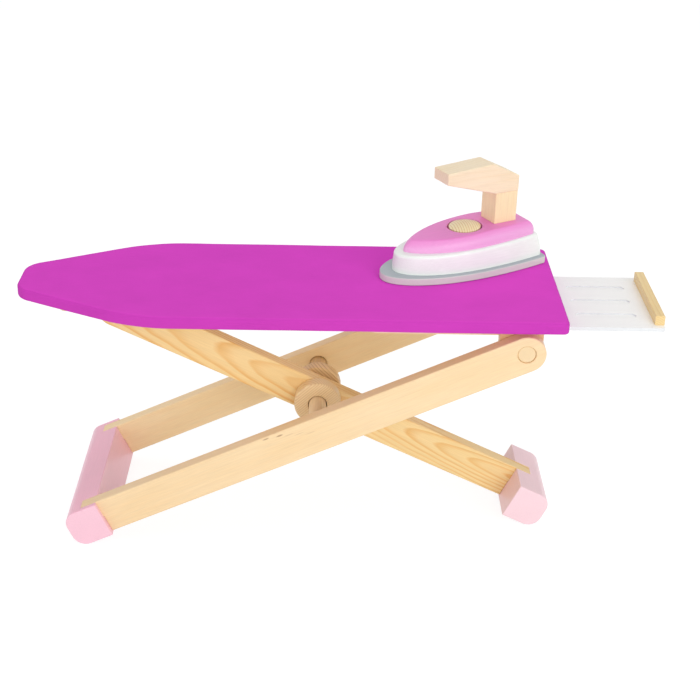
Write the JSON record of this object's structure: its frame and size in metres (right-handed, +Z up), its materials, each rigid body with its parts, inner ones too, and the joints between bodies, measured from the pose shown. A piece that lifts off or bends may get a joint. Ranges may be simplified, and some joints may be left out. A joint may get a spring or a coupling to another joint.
{
  "type": "toy ironing board",
  "caption": "Low wooden toy ironing board with a cloth cover, folding crossed legs, a pull-out iron rest and a toy iron standing on it.",
  "frame": {"origin": "on the floor, below the middle of the board's length and width, with the board as it stands open", "axes": "+X along the board from its narrow nose to the iron rest, +Y to the rear, +Z up"},
  "size_m": [0.675, 0.2231, 0.3908],
  "materials": {
    "cover_cloth": "plain woven cotton, deep pink",
    "padding": "soft felt",
    "panel_wood": "plain plywood",
    "pine": "clear satin lacquer on pine",
    "dowel_wood": "plain turned hardwood",
    "end_grain_wood": "clear satin lacquer",
    "foot_paint": "light pink satin lacquer on wood",
    "tray_paint": "white satin lacquer on board",
    "sole_paint": "grey satin lacquer on wood",
    "body_paint": "white satin lacquer on wood",
    "cap_paint": "pink satin lacquer on wood",
    "screw_steel": "zinc plated"
  },
  "bodies": {
    "board": {"board_panel": "panel_wood", "padding": "padding", "cover_cloth": "cover_cloth", "hinge_block_front": "pine", "hinge_block_rear": "pine", "top_pivot_dowel": "dowel_wood", "tray_runner_front": "pine", "tray_runner_rear": "pine", "tray_stop_strip": "pine", "leg_rail_front": "pine", "leg_rail_rear": "pine", "panel_screws": "screw_steel"},
    "outer_legs": {"outer_leg_front": "pine", "outer_leg_rear": "pine", "left_foot_bar": "foot_paint", "centre_pivot_dowel": "dowel_wood", "spacer_disc_rear": "end_grain_wood"},
    "centre_leg_frame": {"centre_leg": "pine", "right_foot_bar": "foot_paint", "spacer_disc_front": "end_grain_wood", "leg_end_dowel": "dowel_wood"},
    "tray": {"tray_panel": "tray_paint", "tray_end_bar": "pine", "tray_bar_pins": "dowel_wood", "tray_stop_pegs": "dowel_wood"},
    "iron": {"iron_sole": "sole_paint", "iron_body": "body_paint", "iron_cap": "cap_paint", "iron_post": "pine", "iron_grip": "pine", "iron_handle_dowels": "dowel_wood", "iron_dial_pin": "dowel_wood", "iron_sole_screws": "screw_steel"},
    "dial": {"iron_dial": "end_grain_wood"}
  },
  "joints": [
    {"name": "legs_fold", "type": "hinge", "parent": "board", "child": "outer_legs", "pos_m": [0.245, 0, 0.23471], "axis": [0, 1, 0], "range_deg": [0, 19]},
    {"name": "centre_leg_fold", "type": "hinge", "parent": "outer_legs", "child": "centre_leg_frame", "pos_m": [0.03133, 0, 0.13688], "axis": [0, 1, 0], "range_deg": [-37.62, 0]},
    {"name": "tray_slide", "type": "slide", "parent": "board", "child": "tray", "axis": [-1, 0, 0], "range_m": [0, 0.094]},
    {"name": "iron_lift", "type": "slide", "parent": "board", "child": "iron", "axis": [0, 0, 1], "range_m": [0, 0.15]},
    {"name": "iron_dial_turn", "type": "hinge", "parent": "iron", "child": "dial", "pos_m": [0.18764, 0.05047, 0.32035], "axis": [-0.0567, -0.0308, 0.9979], "continuous": true}
  ],
  "couplings": [
    {"joint": "centre_leg_fold", "follows": "legs_fold", "ratio": -1.98}
  ]
}
